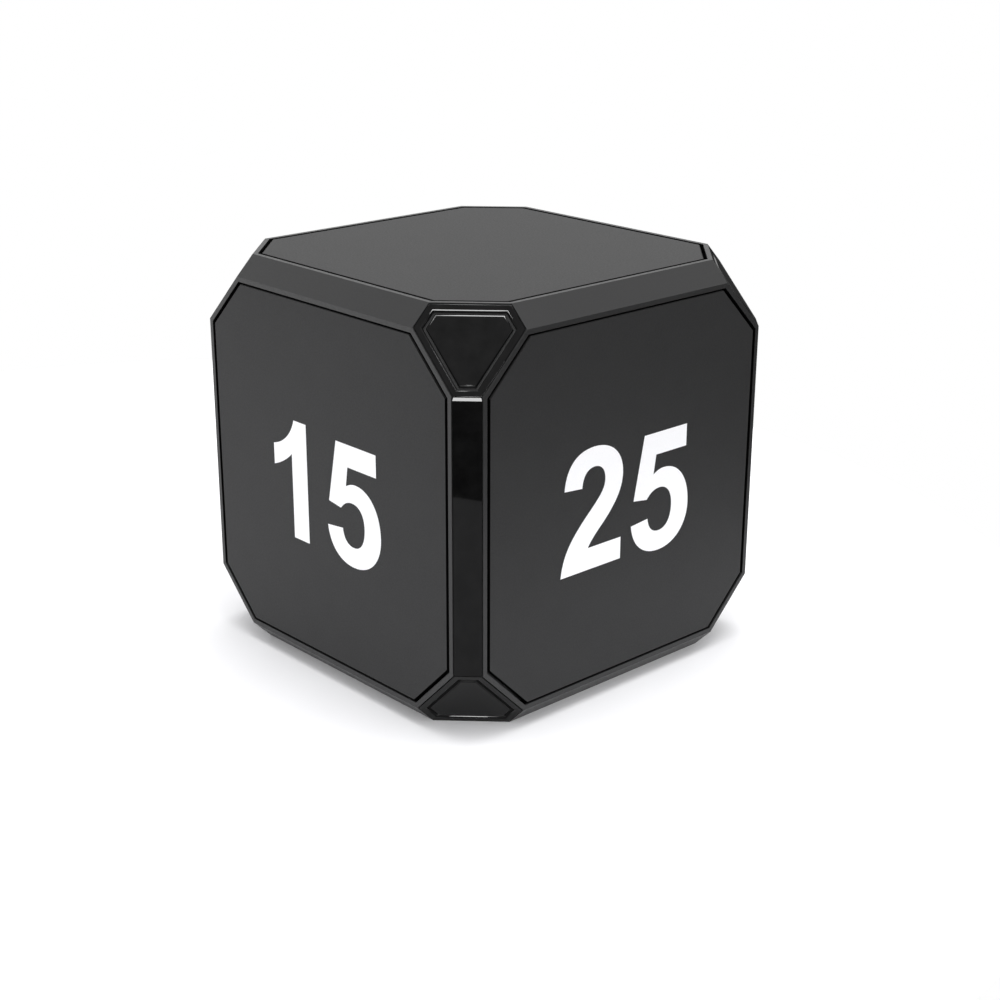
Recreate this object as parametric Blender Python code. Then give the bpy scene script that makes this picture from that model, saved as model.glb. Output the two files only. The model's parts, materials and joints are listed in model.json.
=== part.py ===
"""A flip-cube kitchen timer. Run it with: blender --background --python part.py

The scene is in metres, +Z up, with the origin at the middle of the base. The display faces down, the
battery cover is on top, and the number panels face -Y, +X, +Y and -X. Lengths below are in millimetres:
every shape is made in millimetres and add_piece() turns it into metres.
"""

import math
from itertools import product

import bmesh
import bpy
from mathutils import Euler, Matrix, Vector

MM = 0.001
ROOT_2 = math.sqrt(2)
ROOT_3 = math.sqrt(3)
QUARTER = math.pi / 2

# The cube: six faces, twelve bevelled edges and eight cut corners
SIDE = 60.0
HALF = SIDE / 2
CHAMFER = 2.9  # leg of each bevelled edge
CORNER_CUT = 13.35  # how far each corner is cut back, along x + y + z
REACH = {1: HALF, 2: SIDE - CHAMFER, 3: 3 * HALF - CORNER_CUT}  # of a face, an edge and a corner plane
FLAT = HALF - CHAMFER  # half the width of a face
FACE_CUT = REACH[3] - HALF  # x + y on the cut corners of a face
SHORT = FACE_CUT - FLAT  # where a face's straight side meets its cut corner

# Fits
GAP = 0.3  # between pieces that touch inside
SEAM = 0.15  # between pieces that touch in sight
ROOT = 0.5  # how far a boss or a post runs into what it stands on
PAST = 1.0  # how far a cut runs past what it cuts
HOLE_SIDES = 24
ROUND_SIDES = 32

# Face panels, each in a recess with a rim round it
RIM = 0.7
GROOVE = 0.5
PANEL_INSET = RIM + GROOVE
TALLER = 0.2  # how much narrower the level grooves are, above and below a number panel
PANEL_SINK = 0.03  # how far a panel lies below its rim
PANEL = 1.32
RECESS = PANEL_SINK + PANEL + GAP

# Corner caps and edge strips
CAP_POCKET = 1.25
CAP_BAND = 0.8
CAP_GROOVE = 0.65
CAP_GROOVE_DEPTH = 0.35
CAP_SLOPE = 0.02  # of the groove's walls
STRIP_FLOOR = 54.9  # x + y at the bottom of a strip's pocket

# Levels, up from the base
CHASSIS_LOW = RECESS
CHASSIS_HIGH = 3.65
GLASS_LOW = CHASSIS_HIGH + GAP
GLASS_MIDDLE = 5.05
GLASS_HIGH = 6.15
BOARD_LOW = 8.0
BOARD_HIGH = 9.6
PARTS_LOW = BOARD_HIGH + GAP  # of what stands on the board
ROOF_LOW = 56.35
ROOF_HIGH = SIDE - RECESS

# Case screws, in bosses that grow out of the cavity's corners
BOSS_AT = 18.9  # x and y
BOSS_RADIUS = 2.9
BOSS_HIGH = 14.0
BOSS_ROOT = 46.4  # x + y where a boss ends inside the wall
SCREW_HEAD = 1.9
SCREW_SHANK = 1.0
SCREW_TIP = 11.0
SCREW_SLOT = 0.5
CASE_HEAD = 1.0
COUNTERBORE = 1.1

# Display
DISPLAY_Y = -3.0
WINDOW = (32.0, 15.0)
SIGHT = (29.0, 12.0)  # opening in the chassis behind the window
GLASS = (36.0, 20.0)
LEDGE = 3.0  # of the glass, where the zebra strip stands
HOLDER_WALL = 0.9
ZEBRA = (34.0, 1.8)

# Slide switches
SWITCH_Y = 14.0
SWITCH_X = 9.0
KNOB = (4.0, 2.2)
KNOB_LOW = 0.5
KNOB_RIB = 1.0  # from one groove of a knob to the next
KNOB_GROOVE = (0.4, 0.3)  # width and depth
STEM = 1.6
STEM_TOP = 5.4
SLOT_ROOM = 0.8  # more than what slides in it, both ways
SWITCH_LOW = 4.3
SWITCH_BODY = (5.0, 4.4)  # length past the stem's way, and width
POWER_TRAVEL = 2.0
SOUND_TRAVEL = 4.0

# Board
BOARD_HALF = 23.5
BOARD_CUT = 33.0
POST = (21.4, -3.0)
POST_RADIUS = 1.9
BOARD_HOLE = 1.25
BOARD_SHANK = 0.8
BOARD_HEAD = 1.2
CHIP_AT = (-2.0, -5.0)
CHIP_DOME = [(0, 1.7), (1.6, 1.6), (3.0, 1.2), (4.0, 0.6), (4.4, 0), (0, 0)]  # radius and height
CRYSTAL_AT = (-11.5, -9.0)
CRYSTAL_FLANGE = (11.0, 4.6, 0.5)  # length, width and height
CRYSTAL_CAN = (10.0, 3.6, 3.5)
BUZZER_AT = (12.0, -8.0)
BUZZER = (6.0, 5.5)  # radius and height
BUZZER_BORE = 5.2
BUZZER_SEAT = (4.4, 3.5)  # radius and height of the step over the disc
BUZZER_MOUTH = (1.0, 0.8)  # radius and depth
BUZZER_DISC = (4.9, 0.4)

# Ball tilt switches, drawn along their own axis from the base's outer face
CAN_RADIUS = 2.3
CAN_BORE = 1.75
CAN_LENGTH = 8.8
CAN_END = 0.6
BASE_LENGTH = 1.5
SPIGOT = 2.3
BALL = 1.6
BALL_CLEAR = 0.15
BALL_REST = SPIGOT + BALL_CLEAR + BALL
TILT_OUT = 11.0  # of the two lying cans, along X
TILT_BACK = 9.0  # along Y
TILT_C = (0.0, 13.0)  # of the upright can
BALL_SIDES = 16

# Batteries, two AAA cells side by side
CELL_LENGTH = 44.0
CELL_RADIUS = 5.1
CELL_Y = 5.6
CELL_Z = 50.6
BUTTON_RADIUS = 1.9
BUTTON = 1.0
CRIMP = (0.5, 0.4)  # of a cell's edges, inward and along
BAY = (50.0, 22.4)  # inside the battery box
BAY_FLOOR = 45.2
BAY_WALL = 1.2
BAY_END_WALL = 0.9
CONTACT_NEAR = 24.4  # x of a contact plate's inner face
CONTACT = 0.4
CONTACT_WIDTH = 9.0
CONTACT_RISE = 4.4  # above the cells' axes
TAIL = (2.0, 2.6)  # a solder tail's width, and its depth under the box's floor
TAIL_SLOT = (1.2, 3.0)
BUMP = [(2.4, 0.0), (1.6, 1.0)]  # radius, and share of its height
SPRING_TURNS = 2.5
SPRING_STEPS = 16  # each turn
SPRING_WIRE = 0.25
SPRING_WIDE = 3.8
SPRING_NARROW = 2.2
EAR_WIDTH = 8.0
EAR_Y = 15.5
EAR_LOW = 51.0
EAR_HIGH = 52.2
LEAD_RADIUS = 0.6
LEAD_TOP = 1.6  # under the box's floor
LEAD_FOOT = (-19.5, 8.0)
LEAD_BULGE = 2.0
LEAD_STEPS = 20

# Battery cover
PIN_AT = (14.0, 19.0)
PIN_RADIUS = 1.2
LOCATOR = 1.45  # height of the locating ring
LOCATOR_WALL = 1.0


# ---------------------------------------------------------------- materials


def material(name, colour, roughness, metallic=0.0, alpha=1.0):
    made = bpy.data.materials.get(name) or bpy.data.materials.new(name)
    made.use_nodes = True
    shader = made.node_tree.nodes["Principled BSDF"]
    shader.inputs["Base Color"].default_value = (*colour, 1.0)
    shader.inputs["Roughness"].default_value = roughness
    shader.inputs["Metallic"].default_value = metallic
    shader.inputs["Alpha"].default_value = alpha
    made.diffuse_color = (*colour, alpha)
    return made


def satin_black():
    return material("satin_black", (0.035, 0.035, 0.036), 0.45)


def panel_black():
    return material("panel_black", (0.03, 0.03, 0.031), 0.6)


def gloss_black():
    return material("gloss_black", (0.008, 0.008, 0.009), 0.12)


def inner_plastic():
    return material("inner_plastic", (0.05, 0.05, 0.052), 0.6)


def clear_plastic():
    return material("clear_plastic", (0.75, 0.78, 0.8), 0.05, alpha=0.3)


def display_glass():
    return material("display_glass", (0.28, 0.32, 0.26), 0.1)


def zebra_rubber():
    return material("zebra_rubber", (0.45, 0.3, 0.34), 0.7)


def board_green():
    return material("board_green", (0.02, 0.13, 0.05), 0.4)


def epoxy_black():
    return material("epoxy_black", (0.012, 0.012, 0.012), 0.35)


def steel():
    return material("steel", (0.6, 0.6, 0.62), 0.3, metallic=1.0)


def brass():
    return material("brass", (0.72, 0.52, 0.22), 0.3, metallic=1.0)


def cell_jacket():
    return material("cell_jacket", (0.16, 0.2, 0.24), 0.35)


def lead_red():
    return material("lead_red", (0.5, 0.02, 0.02), 0.45)


def lead_black():
    return material("lead_black", (0.015, 0.015, 0.015), 0.45)


def knob_grey():
    return material("knob_grey", (0.3, 0.3, 0.31), 0.5)


# ---------------------------------------------------------------- shapes


def finished(shape):
    bmesh.ops.recalc_face_normals(shape, faces=shape.faces)
    return shape


def convex(planes):
    """The solid of every point p with normal . p <= reach, for each (normal, reach)."""
    shape = bmesh.new()
    bmesh.ops.create_cube(shape, size=3 * SIDE)
    for normal, reach in planes:
        normal = Vector(normal)
        cut = bmesh.ops.bisect_plane(
            shape,
            geom=[*shape.verts, *shape.edges, *shape.faces],
            plane_co=normal * (reach / normal.length_squared),
            plane_no=normal,
            clear_outer=True,
        )
        edges = [item for item in cut["geom_cut"] if isinstance(item, bmesh.types.BMEdge)]
        bmesh.ops.edgeloop_fill(shape, edges=edges)
    return finished(shape)


def prism(outline, low, high):
    """The outline, a list of (x, y), between two levels."""
    shape = bmesh.new()
    bottom = [shape.verts.new((x, y, low)) for x, y in outline]
    top = [shape.verts.new((x, y, high)) for x, y in outline]
    shape.faces.new(bottom)
    shape.faces.new(top)
    for index in range(len(outline)):
        shape.faces.new((bottom[index - 1], bottom[index], top[index], top[index - 1]))
    return finished(shape)


def block(size, centre, low, high):
    """A box of size (x, y) round centre (x, y), between two levels."""
    corners = [(-1, -1), (1, -1), (1, 1), (-1, 1)]
    outline = [(centre[0] + x * size[0] / 2, centre[1] + y * size[1] / 2) for x, y in corners]
    return prism(outline, low, high)


def turned(profile, sides=ROUND_SIDES, ring=False):
    """A profile of (radius, height) turned about Z. A ring's profile closes on itself."""
    shape = bmesh.new()
    rows = []
    for radius, height in profile:
        count = sides if radius else 1
        angles = [2 * math.pi * step / sides for step in range(count)]
        rows.append([shape.verts.new((radius * math.cos(a), radius * math.sin(a), height)) for a in angles])
    pairs = list(zip(rows, rows[1:]))
    if ring:
        pairs.append((rows[-1], rows[0]))
    for first, second in pairs:
        for step in range(sides):
            corners = [first[step - 1], first[step]] if len(first) > 1 else list(first)
            corners += [second[step], second[step - 1]] if len(second) > 1 else second
            shape.faces.new(corners)
    return finished(shape)


def rod(radius, low, high, centre=(0.0, 0.0), sides=ROUND_SIDES):
    shape = turned([(0, low), (radius, low), (radius, high), (0, high)], sides)
    return moved(shape, (*centre, 0.0))


def moved(shape, offset=(0, 0, 0), turn=(0, 0, 0)):
    matrix = Matrix.Translation(offset) @ Euler(turn).to_matrix().to_4x4()
    shape.transform(matrix)
    return shape


def mesh_of(shape, name):
    mesh = bpy.data.meshes.new(name)
    shape.to_mesh(mesh)
    shape.free()
    return mesh


def boolean(shape, tool, operation):
    """What a Boolean leaves of two closed shapes, with its flat faces merged again."""
    target = bpy.data.objects.new("target", mesh_of(shape, "target"))
    cutter = bpy.data.objects.new("cutter", mesh_of(tool, "cutter"))
    for obj in (target, cutter):
        bpy.context.scene.collection.objects.link(obj)
    modifier = target.modifiers.new("Boolean", "BOOLEAN")
    modifier.operation = operation
    modifier.object = cutter
    graph = bpy.context.evaluated_depsgraph_get()
    result = bmesh.new()
    result.from_mesh(target.evaluated_get(graph).to_mesh())
    for obj in (target, cutter):
        mesh = obj.data
        bpy.data.objects.remove(obj)
        bpy.data.meshes.remove(mesh)
    bmesh.ops.dissolve_limit(result, angle_limit=0.001, verts=result.verts, edges=result.edges)
    return result


def cut(shape, *tools):
    for tool in tools:
        shape = boolean(shape, tool, "DIFFERENCE")
    return shape


def joined(shape, *tools):
    for tool in tools:
        shape = boolean(shape, tool, "UNION")
    return shape


def octagon(inset, taller=0.0):
    """A face's outline, drawn in from its edge, with its two sides across Y drawn out again by taller."""
    wide = FLAT - inset
    tall = wide + taller
    diagonal = FACE_CUT - inset * ROOT_2
    right = [(diagonal - tall, -tall), (wide, wide - diagonal), (wide, diagonal - wide), (diagonal - tall, tall)]
    return right + [(-x, -y) for x, y in right]


def stadium(length, width, sides=16):
    """A round-ended outline along X."""
    radius = width / 2
    points = []
    for end, start in ((1, -QUARTER), (-1, QUARTER)):
        for step in range(sides + 1):
            angle = start + math.pi * step / sides
            points.append((end * (length / 2 - radius) + radius * math.cos(angle), radius * math.sin(angle)))
    return points


# ---------------------------------------------------------------- pieces in the scene


def add_piece(name, shape, paint, location=(0, 0, 0), rotation=(0, 0, 0), parent=None):
    """Adds a piece made of a shape in millimetres, or of another piece's mesh."""
    if isinstance(shape, bmesh.types.BMesh):
        bmesh.ops.triangulate(shape, faces=shape.faces)
        shape.transform(Matrix.Scale(MM, 4))
        mesh = mesh_of(shape, name)
        mesh.shade_smooth()
        mesh.set_sharp_from_angle(angle=math.radians(30))
        mesh.materials.append(paint)
    else:
        mesh = shape
    obj = bpy.data.objects.new(name, mesh)
    obj.location = Vector(location) * MM
    obj.rotation_euler = rotation
    obj.parent = parent
    bpy.context.scene.collection.objects.link(obj)
    return obj


def add_wire(name, points, radius, paint, location=(0, 0, 0)):
    """Adds a round wire along the points, in millimetres."""
    curve = bpy.data.curves.new(name, "CURVE")
    curve.dimensions = "3D"
    curve.bevel_depth = radius * MM
    curve.bevel_resolution = 2
    curve.use_fill_caps = True
    spline = curve.splines.new("POLY")
    spline.points.add(len(points) - 1)
    for point, place in zip(spline.points, points):
        point.co = (*(Vector(place) * MM), 1.0)
    curve.materials.append(paint)
    obj = bpy.data.objects.new(name, curve)
    obj.location = Vector(location) * MM
    bpy.context.scene.collection.objects.link(obj)
    return obj


def add_empty(name, location, rotation=(0, 0, 0)):
    obj = bpy.data.objects.new(name, None)
    obj.location = Vector(location) * MM
    obj.rotation_euler = rotation
    bpy.context.scene.collection.objects.link(obj)
    return obj


# ---------------------------------------------------------------- housing and its skin


def cube_form():
    """The outer form, round its own centre."""
    directions = [d for d in product((-1, 0, 1), repeat=3) if any(d)]
    return convex([(d, REACH[sum(map(abs, d))]) for d in directions])


def corner_wedge(gap, low, high):
    """The space of a cap at the corner +X +Y +Z, between two x + y + z, with a gap to its walls."""
    planes = [((1, 1, 1), high), ((-1, -1, -1), -low)]
    for axis in range(3):
        wall = [-1, -1, -1]
        wall[axis] = 0
        planes.append((wall, -FACE_CUT - gap * ROOT_2))
        end = [0, 0, 0]
        end[axis] = -1
        planes.append((end, -SHORT - gap))
    return convex(planes)


def edge_wedge(gap, low, high, length):
    """The space of a strip on the edge +X +Y, between two x + y."""
    planes = [((1, 1, 0), high), ((-1, -1, 0), -low), ((0, 0, 1), length / 2), ((0, 0, -1), length / 2)]
    planes += [((-1, 0, 0), -FLAT - gap), ((0, -1, 0), -FLAT - gap)]
    return convex(planes)


CORNER_TURNS = [(flip, 0, step * QUARTER) for flip in (0, math.pi) for step in range(4)]
PANEL_TURNS = [(QUARTER, 0, step * QUARTER) for step in range(4)]
TOP_TURN = (0, 0, 0)


def case_boss(x_side, y_side):
    """A round boss with a web that runs into the cavity's corner."""
    length = BOSS_ROOT / ROOT_2 - BOSS_AT * ROOT_2
    outline = [(length, -BOSS_RADIUS), (length, BOSS_RADIUS)]
    for step in range(ROUND_SIDES // 2 + 1):
        angle = QUARTER + 2 * math.pi * step / ROUND_SIDES
        outline.append((BOSS_RADIUS * math.cos(angle), BOSS_RADIUS * math.sin(angle)))
    shape = prism(outline, GLASS_LOW, BOSS_HIGH)
    turn = math.atan2(y_side, x_side)
    return moved(shape, (x_side * BOSS_AT, y_side * BOSS_AT, 0), (0, 0, turn))


def add_housing():
    shape = cube_form()
    floor = REACH[3] - CAP_POCKET * ROOT_3
    for turn in CORNER_TURNS:
        shape = cut(shape, moved(corner_wedge(0, floor, REACH[3] + CORNER_CUT), turn=turn))
    for turn in PANEL_TURNS:
        pocket = edge_wedge(0, STRIP_FLOOR, SIDE + CHAMFER, 2 * (SHORT + GAP))
        shape = cut(shape, moved(pocket, turn=(0, 0, turn[2])))
    for turn in (TOP_TURN, *PANEL_TURNS):
        shape = cut(shape, moved(prism(octagon(RIM), HALF - RECESS, SIDE), turn=turn))
    shape = moved(shape, (0, 0, HALF))
    shape = cut(shape, prism(octagon(RIM), -HALF, ROOF_LOW))
    shape = cut(shape, block(BAY, (0, 0), ROOF_LOW - PAST, SIDE))
    for x_side, y_side in product((-1, 1), repeat=2):
        shape = joined(shape, case_boss(x_side, y_side))
        place = (x_side * BOSS_AT, y_side * BOSS_AT)
        hole = rod(SCREW_SHANK + GAP, GLASS_LOW - PAST, SCREW_TIP + PAST, place, HOLE_SIDES)
        place = (x_side * PIN_AT[0], y_side * PIN_AT[1])
        socket = rod(PIN_RADIUS + GAP, ROOF_LOW - PAST, SIDE, place, HOLE_SIDES)
        shape = cut(shape, hole, socket)
    for y_side in (-1, 1):
        boss = rod(BOSS_RADIUS, EAR_HIGH + GAP, ROOF_LOW + ROOT, (0, y_side * EAR_Y))
        hole = rod(BOARD_SHANK + GAP, EAR_HIGH, ROOF_LOW, (0, y_side * EAR_Y), HOLE_SIDES)
        shape = cut(joined(shape, boss), hole)
    return add_piece("housing", shape, satin_black())


def add_corner_caps(centre):
    """Eight caps, each with a band, a groove and a raised middle."""
    floor = REACH[3] - (CAP_POCKET - GAP) * ROOT_3
    shape = corner_wedge(SEAM, floor, REACH[3])
    inner = [max(shape.faces, key=lambda face: face.normal.dot(Vector((1, 1, 1))))]
    bmesh.ops.inset_region(shape, faces=inner, thickness=CAP_BAND)
    bmesh.ops.inset_region(shape, faces=inner, thickness=CAP_SLOPE, depth=-CAP_GROOVE_DEPTH)
    bmesh.ops.inset_region(shape, faces=inner, thickness=CAP_GROOVE)
    bmesh.ops.inset_region(shape, faces=inner, thickness=CAP_SLOPE, depth=CAP_GROOVE_DEPTH)
    mesh = None
    names = [f"corner_cap_{level}_{place}" for level in ("top", "base") for place in range(1, 5)]
    for name, turn in zip(names, CORNER_TURNS):
        obj = add_piece(name, mesh or shape, gloss_black(), rotation=turn, parent=centre)
        mesh = obj.data


def add_edge_strips(centre):
    mesh = None
    for step, turn in enumerate(PANEL_TURNS):
        shape = mesh or edge_wedge(SEAM, STRIP_FLOOR + GAP * ROOT_2, REACH[2], 2 * (SHORT - SEAM))
        turned_by = (0, 0, turn[2])
        obj = add_piece(f"edge_strip_{step + 1}", shape, gloss_black(), rotation=turned_by, parent=centre)
        mesh = obj.data


def add_number_panels(centre):
    mesh = None
    for number, turn in zip((15, 25, 45, 5), PANEL_TURNS):
        shape = mesh or prism(octagon(PANEL_INSET, TALLER), HALF - PANEL_SINK - PANEL, HALF - PANEL_SINK)
        obj = add_piece(f"panel_{number}", shape, panel_black(), rotation=turn, parent=centre)
        mesh = obj.data


def add_battery_cover():
    """The top panel, with a ring that sits in the battery opening and four pins in the roof's sockets."""
    low = SIDE - PANEL_SINK - PANEL
    shape = prism(octagon(PANEL_INSET), 0, PANEL)
    ring = cut(
        block([size - 2 * GAP for size in BAY], (0, 0), -LOCATOR, PANEL / 2),
        block([size - 2 * GAP - 2 * LOCATOR_WALL for size in BAY], (0, 0), -LOCATOR - PAST, PANEL),
    )
    shape = joined(shape, ring)
    for x_side, y_side in product((-1, 1), repeat=2):
        place = (x_side * PIN_AT[0], y_side * PIN_AT[1])
        shape = joined(shape, rod(PIN_RADIUS, ROOF_LOW + GAP - low, PANEL / 2, place, HOLE_SIDES))
    return add_piece("battery_cover", shape, panel_black(), (0, 0, low))


# ---------------------------------------------------------------- display face


def switch_slot(travel, size, x, low, high):
    """A slot round a piece of size (x, y) that slides by travel, with room at its ends."""
    return block((size[0] + travel + SLOT_ROOM, size[1] + SLOT_ROOM), (x, SWITCH_Y), low, high)


SWITCHES = (("power", -SWITCH_X, POWER_TRAVEL), ("sound", SWITCH_X, SOUND_TRAVEL))


def add_display_face():
    panel = prism(octagon(PANEL_INSET), PANEL_SINK, PANEL_SINK + PANEL)
    panel = cut(panel, block(WINDOW, (0, DISPLAY_Y), -PAST, CHASSIS_LOW))
    for _, x, travel in SWITCHES:
        panel = cut(panel, switch_slot(travel, KNOB, x, -PAST, CHASSIS_LOW))
    add_piece("display_panel", panel, panel_black())
    lens = block([size - 2 * GAP for size in WINDOW], (0, DISPLAY_Y), KNOB_LOW, PANEL_SINK + PANEL)
    add_piece("display_window", lens, clear_plastic())


def add_chassis():
    """The plate behind the display panel, with counterbored screw holes and two posts for the board."""
    shape = prism(octagon(RIM + GAP), CHASSIS_LOW, CHASSIS_HIGH)
    shape = cut(shape, block(SIGHT, (0, DISPLAY_Y), 0, GLASS_LOW))
    for _, x, travel in SWITCHES:
        shape = cut(shape, switch_slot(travel, (STEM, STEM), x, 0, GLASS_LOW))
    for x_side, y_side in product((-1, 1), repeat=2):
        place = (x_side * BOSS_AT, y_side * BOSS_AT)
        shape = cut(shape, rod(SCREW_SHANK + GAP, 0, GLASS_LOW, place, HOLE_SIDES))
        shape = cut(shape, rod(SCREW_HEAD + GAP, 0, CHASSIS_LOW + COUNTERBORE + GAP, place))
    for x_side in (-1, 1):
        place = (x_side * POST[0], POST[1])
        post = rod(POST_RADIUS, CHASSIS_HIGH - ROOT, BOARD_LOW - GAP, place, HOLE_SIDES)
        hole = rod(BOARD_SHANK + GAP, GLASS_LOW, BOARD_LOW, place, HOLE_SIDES)
        shape = cut(joined(shape, post), hole)
    return add_piece("chassis_plate", shape, inner_plastic())


def pan_screw(head_radius, head, shank_radius, length):
    """A screw along +Z, with its head's outer face at 0, a sloped edge and a slot in its head."""
    flat, rise, slot = 0.7, 0.5, 0.4  # shares of the head's radius and height
    tip = 0.2  # share of the shank's radius
    profile = [(0, 0), (head_radius * flat, 0), (head_radius, head * rise), (head_radius, head)]
    profile += [(shank_radius, head), (shank_radius, length - shank_radius), (tip * shank_radius, length)]
    profile.append((0, length))
    return cut(turned(profile, HOLE_SIDES), block((SCREW_SLOT, 3 * head_radius), (0, 0), -PAST, head * slot))


def add_case_screws():
    mesh = None
    low = CHASSIS_LOW + COUNTERBORE - CASE_HEAD
    for number, (x_side, y_side) in enumerate(product((-1, 1), repeat=2), 1):
        shape = mesh or pan_screw(SCREW_HEAD, CASE_HEAD, SCREW_SHANK, SCREW_TIP - low)
        place = (x_side * BOSS_AT, y_side * BOSS_AT, low)
        obj = add_piece(f"case_screw_{number}", shape, steel(), place)
        mesh = obj.data


def add_display():
    """The glass, its holder and the conductive strip between its ledge and the board."""
    glass = joined(
        block(GLASS, (0, DISPLAY_Y), GLASS_LOW, GLASS_MIDDLE),
        block((GLASS[0], GLASS[1] - LEDGE), (0, DISPLAY_Y - LEDGE / 2), GLASS_MIDDLE - ROOT, GLASS_HIGH),
    )
    add_piece("lcd_glass", glass, display_glass())
    inside = [size + 2 * GAP for size in GLASS]
    holder = cut(
        block([size + 2 * HOLDER_WALL for size in inside], (0, DISPLAY_Y), GLASS_LOW, BOARD_LOW - GAP),
        block(inside, (0, DISPLAY_Y), 0, BOARD_HIGH),
    )
    add_piece("lcd_holder", holder, inner_plastic())
    ledge_y = DISPLAY_Y + GLASS[1] / 2 - LEDGE / 2
    strip = block(ZEBRA, (0, ledge_y), GLASS_MIDDLE + GAP, BOARD_LOW - GAP)
    add_piece("zebra_strip", strip, zebra_rubber())


def add_switches():
    """Each switch has a body under the board and a knob that slides along X. Both rest at their -X end."""
    for name, x, travel in SWITCHES:
        body = block((STEM + travel + SWITCH_BODY[0], SWITCH_BODY[1]), (0, 0), SWITCH_LOW, BOARD_LOW - GAP)
        track = block((STEM + travel + SLOT_ROOM, STEM + SLOT_ROOM), (0, 0), 0, STEM_TOP + GAP)
        add_piece(f"{name}_switch_body", cut(body, track), inner_plastic(), (x, SWITCH_Y, 0))
        top = PANEL_SINK + PANEL - KNOB_LOW
        knob = block(KNOB, (0, 0), 0, top)
        knob = joined(knob, block((STEM, STEM), (0, 0), top / 2, STEM_TOP - KNOB_LOW))
        width, depth = KNOB_GROOVE
        for groove in (-KNOB_RIB, 0, KNOB_RIB):
            knob = cut(knob, block((width, 2 * KNOB[1]), (groove, 0), -PAST, depth))
        add_piece(f"{name}_switch_knob", knob, knob_grey(), (x - travel / 2, SWITCH_Y, KNOB_LOW))


# ---------------------------------------------------------------- board and what stands on it


def add_board():
    corner = BOARD_CUT - BOARD_HALF
    outline = []
    for step in range(4):
        turn = Matrix.Rotation(step * QUARTER, 2)
        outline += [tuple(turn @ Vector((BOARD_HALF, side))) for side in (-corner, corner)]
    shape = prism(outline, BOARD_LOW, BOARD_HIGH)
    mesh = None
    for number, x_side in enumerate((-1, 1), 1):
        place = (x_side * POST[0], POST[1])
        shape = cut(shape, rod(BOARD_HOLE, 0, SIDE, place, HOLE_SIDES))
        head = PARTS_LOW + BOARD_HEAD
        screw = mesh or pan_screw(SCREW_HEAD, BOARD_HEAD, BOARD_SHANK, head - GLASS_LOW - PAST)
        obj = add_piece(f"board_screw_{number}", screw, steel(), (*place, head), (math.pi, 0, 0))
        mesh = obj.data
    add_piece("main_board", shape, board_green())


def add_board_parts():
    add_piece("controller_chip", turned(CHIP_DOME), epoxy_black(), (*CHIP_AT, PARTS_LOW))
    flange = prism(stadium(*CRYSTAL_FLANGE[:2]), 0, CRYSTAL_FLANGE[2])
    can = prism(stadium(*CRYSTAL_CAN[:2]), CRYSTAL_FLANGE[2] / 2, CRYSTAL_CAN[2])
    add_piece("crystal", joined(flange, can), steel(), (*CRYSTAL_AT, PARTS_LOW), (0, 0, QUARTER))
    radius, height = BUZZER
    mouth, mouth_depth = BUZZER_MOUTH
    seat, seat_low = BUZZER_SEAT
    wall = [(radius, 0), (radius, height), (mouth, height), (mouth, height - mouth_depth)]
    wall += [(seat, height - mouth_depth), (seat, seat_low), (BUZZER_BORE, seat_low), (BUZZER_BORE, 0)]
    add_piece("buzzer_case", turned(wall, ring=True), epoxy_black(), (*BUZZER_AT, PARTS_LOW))
    disc_radius, disc_thickness = BUZZER_DISC
    disc = rod(disc_radius, seat_low - GAP - disc_thickness, seat_low - GAP)
    add_piece("buzzer_disc", disc, brass(), (*BUZZER_AT, PARTS_LOW))


def add_tilt_switches():
    """Two lying cans at right angles tell the number faces apart, and an upright one tells top from base."""
    lying = PARTS_LOW + CAN_RADIUS
    back = CAN_LENGTH / 2 / ROOT_2
    places = (
        ("a", (-TILT_OUT - back, TILT_BACK - back, lying), (0, QUARTER, QUARTER / 2)),
        ("b", (TILT_OUT - back, TILT_BACK + back, lying), (0, QUARTER, -QUARTER / 2)),
        ("c", (*TILT_C, PARTS_LOW), (0, 0, 0)),
    )
    mouth = BASE_LENGTH + GAP
    can = [(0, CAN_LENGTH), (CAN_RADIUS, CAN_LENGTH), (CAN_RADIUS, mouth), (CAN_BORE, mouth)]
    can += [(CAN_BORE, CAN_LENGTH - CAN_END), (0, CAN_LENGTH - CAN_END)]
    base = [(0, SPIGOT), (CAN_BORE - GAP, SPIGOT), (CAN_BORE - GAP, BASE_LENGTH), (CAN_RADIUS, BASE_LENGTH)]
    base += [(CAN_RADIUS, 0), (0, 0)]
    arc = [QUARTER - 2 * math.pi * step / BALL_SIDES for step in range(1, BALL_SIDES // 2)]
    ball = [(0, BALL), *((BALL * math.cos(angle), BALL * math.sin(angle)) for angle in arc), (0, -BALL)]
    for letter, place, turn in places:
        holder = add_empty(f"tilt_{letter}_axis", place, turn)
        add_piece(f"tilt_{letter}_can", turned(can, HOLE_SIDES), steel(), parent=holder)
        add_piece(f"tilt_{letter}_base", turned(base, HOLE_SIDES), inner_plastic(), parent=holder)
        add_piece(f"tilt_{letter}_ball", turned(ball, BALL_SIDES), steel(), (0, 0, BALL_REST), parent=holder)


# ---------------------------------------------------------------- battery box


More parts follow.
